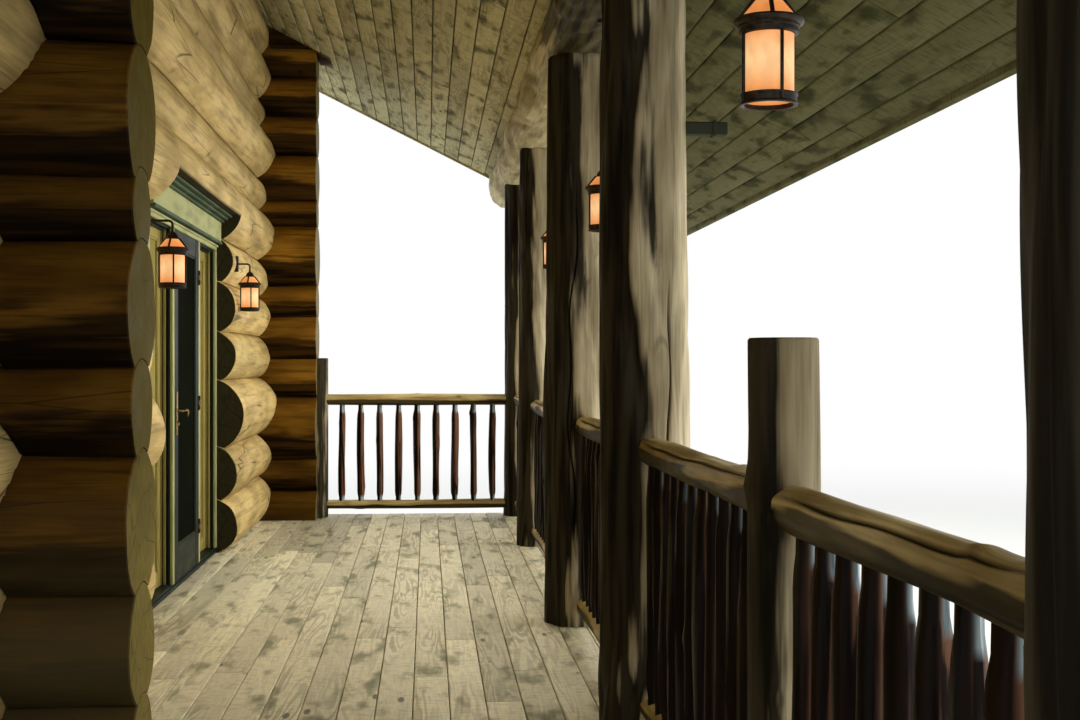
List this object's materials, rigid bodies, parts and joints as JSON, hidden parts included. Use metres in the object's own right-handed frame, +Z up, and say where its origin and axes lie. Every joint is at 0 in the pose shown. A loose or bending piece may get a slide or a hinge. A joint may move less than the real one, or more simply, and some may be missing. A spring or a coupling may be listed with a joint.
{
  "type": "log cabin porch",
  "caption": "Covered front porch of a log cabin: scribed log wall with a patio door, log posts, pole railings, lanterns and a single-slope roof.",
  "frame": {"origin": "on the ground, under the middle of the roof", "axes": "+X out from the cabin wall to the eave, +Y along the porch to its far railing, +Z up"},
  "size_m": [4.14, 12.9, 5.4318],
  "materials": {
    "wall_log": "peeled log, varnished cream brown, weathered",
    "post_log": "hand peeled log, tan and grey",
    "rail_wood": "peeled pole, golden brown varnish",
    "deck_wood": "weathered softwood board",
    "frame_wood": "sawn softwood",
    "ceiling_wood": "rough sawn board, grey green",
    "roof_shingle": "split shingle, weathered",
    "masonry": "mortared rubble, dull",
    "door_paint": "dark green paint, satin",
    "board_paint": "sage paint, matt",
    "window_glass": "dark tinted, polished",
    "amber_glass": "amber, seeded",
    "brass": "polished, slightly tarnished",
    "dark_bronze": "dark bronze powder coat"
  },
  "bodies": {
    "porch": {"ceiling_boards": "ceiling_wood", "deck_beam": "frame_wood", "deck_boards": "deck_wood", "deck_frame": "frame_wood", "deck_piers": "masonry", "door_head": "door_paint", "door_jambs": "door_paint", "door_sill": "door_paint", "eave_board": "ceiling_wood", "end_railing": "rail_wood", "far_side_wall_even_logs": "wall_log", "far_side_wall_odd_logs": "wall_log", "foundation": "masonry", "front_wall_far_even_logs": "wall_log", "front_wall_far_odd_logs": "wall_log", "front_wall_near_even_logs": "wall_log", "front_wall_near_odd_logs": "wall_log", "front_wall_over_door_even_logs": "wall_log", "front_wall_over_door_odd_logs": "wall_log", "gable_board": "ceiling_wood", "half_newel_post": "post_log", "head_board": "board_paint", "hinge_pins": "brass", "lantern_glass": "amber_glass", "near_side_wall_even_logs": "wall_log", "near_side_wall_odd_logs": "wall_log", "newel_post": "post_log", "pendant_lanterns": "dark_bronze", "plate_log": "post_log", "porch_post_1": "post_log", "porch_post_2": "post_log", "porch_post_3": "post_log", "porch_post_4": "post_log", "porch_post_5": "post_log", "rafters": "frame_wood", "railing_1": "rail_wood", "railing_2": "rail_wood", "railing_3": "rail_wood", "railing_4": "rail_wood", "railing_5": "rail_wood", "roof_cover": "roof_shingle", "sidelight_glass": "window_glass", "sidelight_sashes": "door_paint", "wall_lanterns": "dark_bronze"},
    "door": {"door_leaf": "door_paint", "door_glass": "window_glass", "door_handles": "brass", "hinge_knuckles": "brass"}
  },
  "joints": [
    {"name": "door_swing", "type": "hinge", "parent": "porch", "child": "door", "pos_m": [-1.506, 1.6625, 1.8], "axis": [0, 0, 1], "range_deg": [0, 90]}
  ]
}
